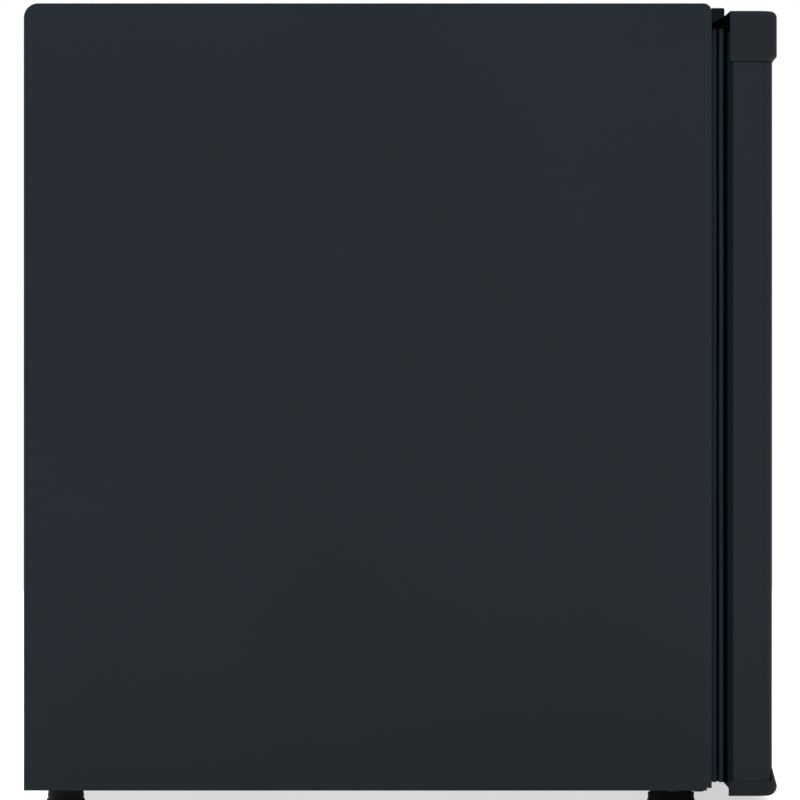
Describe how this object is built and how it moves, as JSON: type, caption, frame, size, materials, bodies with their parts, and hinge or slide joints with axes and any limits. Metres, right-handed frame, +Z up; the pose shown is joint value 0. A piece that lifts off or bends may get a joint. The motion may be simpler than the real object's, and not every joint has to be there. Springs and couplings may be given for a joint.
{
  "type": "mini fridge",
  "caption": "Compact dark steel refrigerator with a side-hinged door, flush back, inner freezer box with flap, wire shelf and door bins.",
  "frame": {"origin": "on the floor, under the middle of the outer box", "axes": "+Z up, door and front towards -Y, hinge on the +X side"},
  "size_m": [0.445, 0.47, 0.5],
  "materials": {
    "painted_shell": "satin",
    "moulded_dark": "satin",
    "seal": "satin",
    "liner_white": "satin",
    "clear_tint": "gloss",
    "plated_steel": "satin",
    "roll_bond": "satin",
    "copper": "satin",
    "compressor_black": "satin",
    "black_rubber": "matte",
    "foam": "matte",
    "coated_wire": "gloss"
  },
  "bodies": {
    "cabinet": {"side_panel_left": "painted_shell", "side_panel_right": "painted_shell", "top_panel": "painted_shell", "back_panel": "painted_shell", "front_rail_top": "painted_shell", "front_rail_bottom": "painted_shell", "top_hinge_bracket": "painted_shell", "bottom_hinge_bracket": "painted_shell", "top_trim": "moulded_dark", "hinge_cover": "moulded_dark", "hinge_hole_plugs": "moulded_dark", "relay_cover": "moulded_dark", "inner_liner": "liner_white", "freezer_spacers": "liner_white", "freezer_frame": "liner_white", "thermostat_housing": "liner_white", "back_panel_screws": "plated_steel", "base_pan": "plated_steel", "compressor_plate": "plated_steel", "compressor_bolts": "plated_steel", "top_hinge_pin": "plated_steel", "bottom_hinge_pin": "plated_steel", "top_hinge_screws": "plated_steel", "bottom_hinge_screws": "plated_steel", "foot_nuts": "plated_steel", "thermostat_switch": "plated_steel", "freezer_box": "roll_bond", "sensor_tube": "copper", "discharge_tube": "copper", "condenser_left": "copper", "condenser_right": "copper", "condenser_outlet": "copper", "filter_drier": "copper", "capillary_tube": "copper", "suction_tube": "copper", "compressor": "compressor_black", "compressor_grommets": "black_rubber", "cord_gland": "black_rubber", "rear_feet": "black_rubber", "cabinet_foam": "foam"},
    "door": {"door_skin": "painted_shell", "door_foam": "foam", "door_liner": "liner_white", "door_gasket": "seal", "gasket_magnets": "seal", "door_top_cap": "moulded_dark", "door_bottom_cap": "moulded_dark", "top_hinge_bushing": "liner_white", "bottom_hinge_bushing": "liner_white", "door_bin_upper": "clear_tint", "door_bin_lower": "clear_tint"},
    "flap": {"freezer_flap": "clear_tint"},
    "shelf": {"wire_shelf": "coated_wire", "shelf_trim": "liner_white"},
    "tray": {"drip_tray": "clear_tint"},
    "knob": {"thermostat_knob": "liner_white"},
    "foot_left": {"foot_left": "black_rubber"},
    "foot_right": {"foot_right": "black_rubber"}
  },
  "joints": [
    {"name": "door_hinge", "type": "hinge", "parent": "cabinet", "child": "door", "pos_m": [0.211, -0.217, 0.25], "axis": [0, 0, 1], "range_deg": [0, 120]},
    {"name": "flap_hinge", "type": "hinge", "parent": "cabinet", "child": "flap", "pos_m": [0, -0.0745, 0.4452], "axis": [-1, 0, 0], "range_deg": [0, 90]},
    {"name": "shelf_slide", "type": "slide", "parent": "cabinet", "child": "shelf", "axis": [0, -1, 0], "range_m": [0, 0.065]},
    {"name": "tray_slide", "type": "slide", "parent": "cabinet", "child": "tray", "axis": [0, -1, 0], "range_m": [0, 0.09]},
    {"name": "knob_turn", "type": "hinge", "parent": "cabinet", "child": "knob", "pos_m": [0.15, -0.02, 0.2878], "axis": [1, 0, 0], "range_deg": [0, 300]},
    {"name": "foot_left_travel", "type": "slide", "parent": "cabinet", "child": "foot_left", "axis": [0, 0, -1], "range_m": [0, 0.01]},
    {"name": "foot_right_travel", "type": "slide", "parent": "cabinet", "child": "foot_right", "axis": [0, 0, -1], "range_m": [0, 0.01]}
  ]
}
